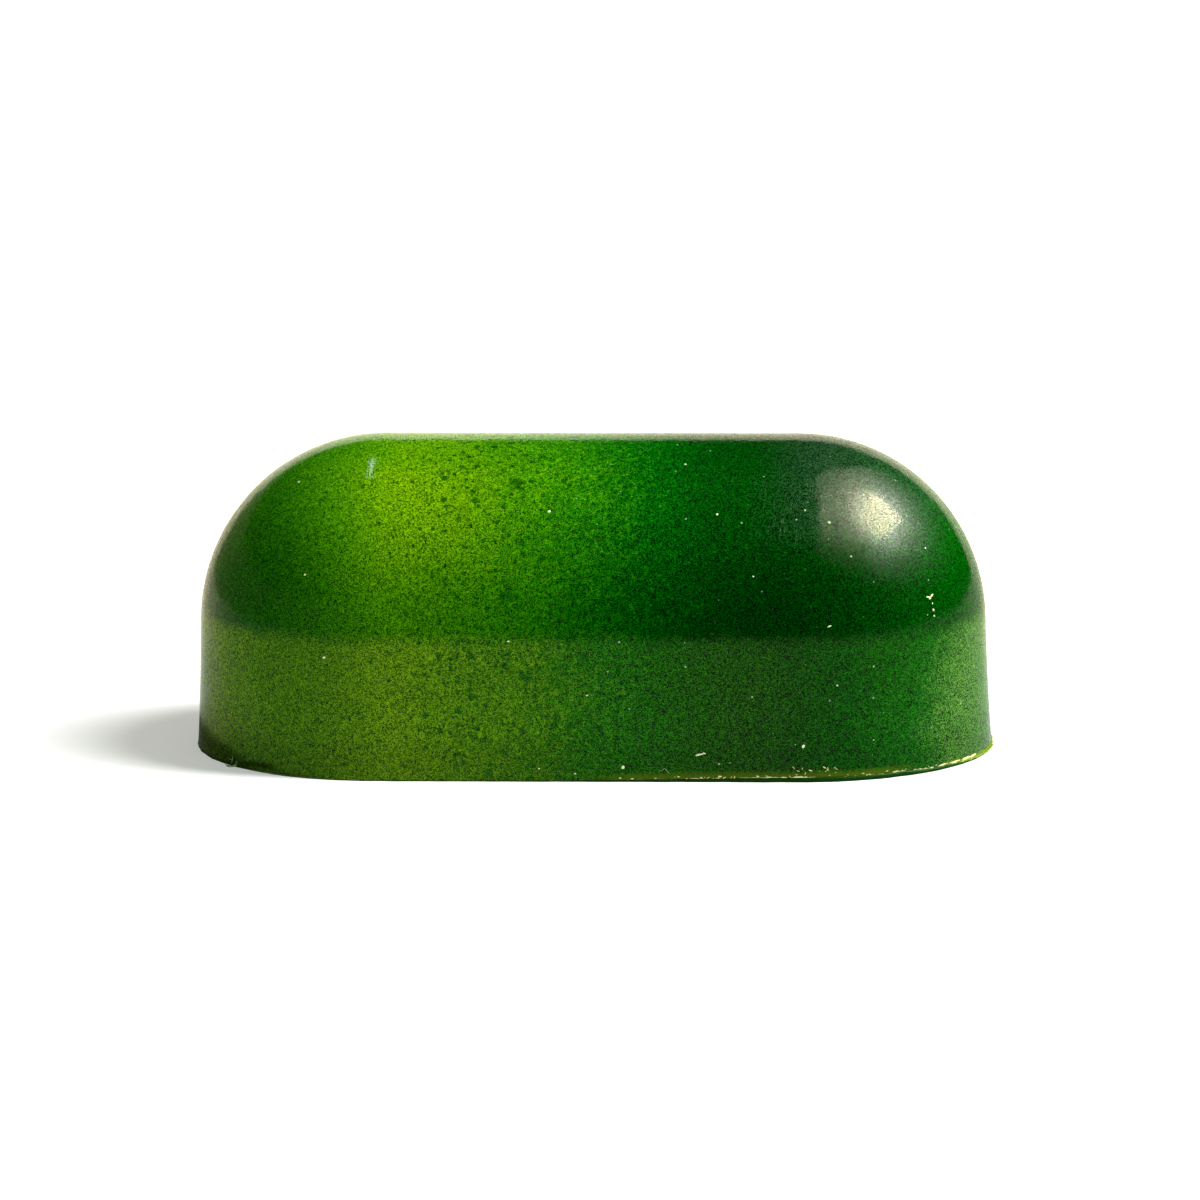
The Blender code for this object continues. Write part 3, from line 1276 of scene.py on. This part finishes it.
@dataclass
class Studio:
    """Floor, light and camera."""

    camera_distance: float = 400.0
    camera_elevation: float = 11.0
    camera_azimuth: float = 2.0
    camera_roll: float = -0.25
    lens: float = 235.96
    aim: tuple[float, float, float] = (0.36, 0.0, 7.355)
    backdrop: Colour = (2.9, 2.6, 1.95)
    backdrop_angle: float = 33.0
    left_wall: Colour = (0.75, 0.70, 0.35)
    ceiling: Colour = (0.008, 0.009, 0.010)
    # Painted light: the floor's own glow, which lightens the cast shadow and tints its reflections.
    floor_glow_front: Colour = (0.33, 0.34, 0.33)
    floor_glow_back: Colour = (1.30, 1.05, 0.50)
    floor_glow_right: Colour = (0.80, 0.85, 0.30)
    lamp_away: float = 500.0
    lamp_azimuth: float = 14.0
    lamp_elevation: float = 51.0
    heart: float = 186.0
    halo: float = 500.0
    high_glow: float = 26.0
    heart_outline: tuple[tuple[float, float], ...] = (
        (119, 32), (133, 8), (85, -36), (78, -62), (73, -88), (60, -100), (2, -87), (-47, -66), (-94, -67),
        (-135, -46), (-170, -1), (-139, 25), (-139, 65), (-105, 87), (-32, 71), (14, 83), (80, 63),
    )
    halo_outline: tuple[tuple[float, float], ...] = (
        (-720, 391), (187, 239), (430, -96), (560, -400), (-720, -400),
    )

    def place_camera(self) -> bpy.types.Object:
        """Put the camera where the photograph was taken from.

        Returns:
            The camera.
        """
        toward = direction(self.camera_azimuth - 90.0, self.camera_elevation)
        data = bpy.data.cameras.new("camera")
        data.lens = self.lens
        data.sensor_width = 36.0
        camera = bpy.data.objects.new("camera", data)
        place = Matrix.Translation((Vector(self.aim) + toward * self.camera_distance) * MM)
        roll = Matrix.Rotation(math.radians(self.camera_roll), 4, "Z")
        camera.matrix_world = place @ facing(toward) @ roll
        bpy.context.scene.collection.objects.link(camera)
        bpy.context.scene.camera = camera
        return camera

    def lay_floor(self) -> bpy.types.Object:
        """Lay the pale table top, a hair over the underside so that both don't share a plane.

        Returns:
            The floor.
        """
        size, level = 4.0, 0.01 * MM
        mesh = bpy.data.meshes.new("floor")
        corners = [(x * size, y * size, level) for x, y in ((-1, -1), (1, -1), (1, 1), (-1, 1))]
        mesh.from_pydata(corners, [], [(0, 1, 2, 3)])
        mesh.materials.append(self.card())
        floor = bpy.data.objects.new("floor", mesh)
        bpy.context.scene.collection.objects.link(floor)
        return floor

    def card(self) -> bpy.types.Material:
        """White card with a glow of its own, which is painted light: grey in front, where it lightens the
        cast shadow, brighter and warmer behind the praline and yellow-green to the right, which tints
        its reflections in the gloss.

        Returns:
            The material.
        """
        graph = Graph("white_card")
        place = graph.millimetres()
        right, back, _ = graph.parts(place)
        near = graph.mix(back.rise(12.0, 40.0), self.floor_glow_front, self.floor_glow_back)
        glow = graph.mix(right.rise(24.0, 50.0), near, self.floor_glow_right)
        fixed = {
            "Base Color": (0.72, 0.72, 0.71, 1.0), "Roughness": 0.9, "Specular IOR Level": 0.0,
            "Emission Strength": 1.0,
        }
        return graph.surface(fixed, {"Emission Color": glow})

    def hang_light(self, name: str, azimuth: float, elevation: float, distance: float,
                   size: float, radiance: float, height: float = 0.0,
                   outline: Outline = Outline.SQUARE) -> None:
        """Hang a flat light that faces the praline and shows in no reflection.

        Args:
            name: its name.
            azimuth: degrees round from +X towards +Y.
            elevation: degrees above the floor.
            distance: metres from the praline.
            size: metres across.
            radiance: how bright its face is.
            height: metres up and down, where that isn't the size.
            outline: its outline.
        """
        data = bpy.data.lights.new(name, "AREA")
        data.shape = outline.value
        data.size = size
        data.size_y = height or size
        area = size * data.size_y * (math.pi / 4 if outline is Outline.ELLIPSE else 1.0)
        data.energy = radiance * area * math.pi
        away = direction(azimuth, elevation)
        light = bpy.data.objects.new(name, data)
        light.matrix_world = Matrix.Translation(away * distance) @ facing(away)
        light.visible_glossy = False
        light.visible_camera = False
        bpy.context.scene.collection.objects.link(light)

    def hang_lamp(self) -> None:
        """Hang the lamp that mirrors in the gloss: a bright heart before a card with its halo."""
        away = direction(self.lamp_azimuth, self.lamp_elevation)
        dark = {"Base Color": (0.0, 0.0, 0.0, 1.0), "Specular IOR Level": 0.0}
        heart = Graph("lamp_heart")
        bright = {**dark, "Emission Color": (1.0, 0.88, 0.62, 1.0), "Emission Strength": self.heart}
        heart_card = heart.surface(bright, {"Alpha": heart.attribute("inside").rise(0.0, 0.3)})
        halo = Graph("lamp_halo")
        level, upward, _ = halo.parts(halo.millimetres())
        reach = (((level + 45.0) / 170.0) ** 2.0 + ((upward - 10.0) / 120.0) ** 2.0) ** 0.5
        near = reach.math("EXPONENT", reach * -2.2) * self.halo
        spread = ((level + 130.0) / 210.0) ** 2.0
        high = spread.math("EXPONENT", spread * -1.0) * upward.rise(40.0, 140.0) * self.high_glow
        warm = halo.mix(upward.rise(-80.0, 120.0), (1.0, 0.96, 0.86), (1.0, 0.86, 0.68))
        glow = {"Emission Color": halo.brighten(warm, near + high)}
        halo_card = halo.surface({**dark, "Emission Strength": 1.0}, glow)
        for name, outline, card, distance in (
            ("lamp_halo", self.halo_outline, halo_card, self.lamp_away),
            ("lamp_heart", self.heart_outline, heart_card, self.lamp_away - 2.0),
        ):
            corners = len(outline)
            fan = [(0, 1 + corner, 1 + (corner + 1) % corners) for corner in range(corners)]
            mesh = bpy.data.meshes.new(name)
            mesh.from_pydata([(0.0, 0.0, 0.0), *((x * MM, y * MM, 0.0) for x, y in outline)], [], fan)
            mesh.materials.append(card)
            piece = bpy.data.objects.new(name, mesh)
            note(piece, "inside", np.array([1.0] + [0.0] * corners))
            piece.matrix_world = Matrix.Translation(away * distance * MM) @ facing(away)
            piece.visible_camera = False
            piece.visible_diffuse = False
            piece.visible_shadow = False
            bpy.context.scene.collection.objects.link(piece)

    def light_room(self) -> None:
        """Light the room: its own glow, a key from the right, a soft fill and the lamp."""
        world = bpy.data.worlds.new("room")
        bpy.context.scene.world = world
        world.use_nodes = True
        self.paint_room(RoomGraph(world))
        self.hang_light("key", -6.0, 48.0, 2.0, 0.6, 37.0, height=1.45, outline=Outline.ELLIPSE)
        self.hang_light("fill", 250.0, 80.0, 1.5, 2.4, 0.4)
        self.hang_lamp()

    def paint_room(self, graph: "RoomGraph") -> None:
        """Colour the room by direction.

        A bright patch lies behind the praline, round the way that the camera looks; a paler wall
        stands low at the left, and the rest is dark. The camera itself sees white.

        Args:
            graph: the world's tree.
        """
        way = graph.node("ShaderNodeTexCoord", {}, {}, "Generated")
        right, back, up = graph.parts(way)
        down = math.radians(self.camera_elevation)
        ahead = back * math.cos(down) - up * math.sin(down)
        limit = math.cos(math.radians(self.backdrop_angle))
        colour = graph.mix(right.rise(-0.1, -0.4) * up.rise(0.36, 0.30), self.ceiling, self.left_wall)
        colour = graph.mix(ahead.rise(limit - 0.01, limit + 0.01), colour, self.backdrop)
        seen = graph.node("ShaderNodeLightPath", {}, {}, "Is Camera Ray")
        graph.shine(graph.mix(seen, colour, (1.2, 1.2, 1.2)))

    def build(self) -> None:
        """Set the whole studio."""
        self.place_camera()
        self.lay_floor()
        self.light_room()
        bpy.context.scene.view_settings.view_transform = "Standard"


def main() -> None:
    """Build the praline and its studio, and report each piece."""
    logging.basicConfig(level=logging.INFO, format="%(name)s: %(message)s")
    form = Stadium.from_frame()
    seam = Seam(form)
    LOG.info("form: %s", form)
    ivory = PlainFinish(
        "white_chocolate", (0.78, 0.68, 0.42), (0.68, 0.56, 0.32), 0.45, margin=(0.003, 0.028, 0.001))
    paste = PlainFinish("nut_paste", (0.42, 0.42, 0.12), (0.25, 0.27, 0.05), 0.7, 0.8, 0.2, 0.05)
    lime_film = Film("lime_film", (0.20, 0.30, 0.02), 0.25)
    green_film = Film("green_film", (0.05, 0.14, 0.02), 0.2)
    pale_film = Film("pale_film", (0.20, 0.31, 0.16), 0.3)
    pieces = [
        Shell(form, seam, AirbrushedSkin()).build(),
        Base(form, seam, ivory).build(),
        Filling(form, paste).build(),
        *Flecks(form, seam).build(),
        Flash(form, "right_flash", 0.955, 1.010, 0.22, 0.08, 0.10, 0.10, lime_film, 41, 0.25).build(),
        Flash(form, "left_flash", 0.575, 0.625, 0.16, 0.06, 0.07, 0.04, green_film, 43).build(),
        Shavings(pale_film).build(),
    ]
    Studio().build()
    for piece in pieces:
        LOG.info("%s: %d faces", piece.name, len(piece.data.polygons))


if __name__ == "__main__":
    main()
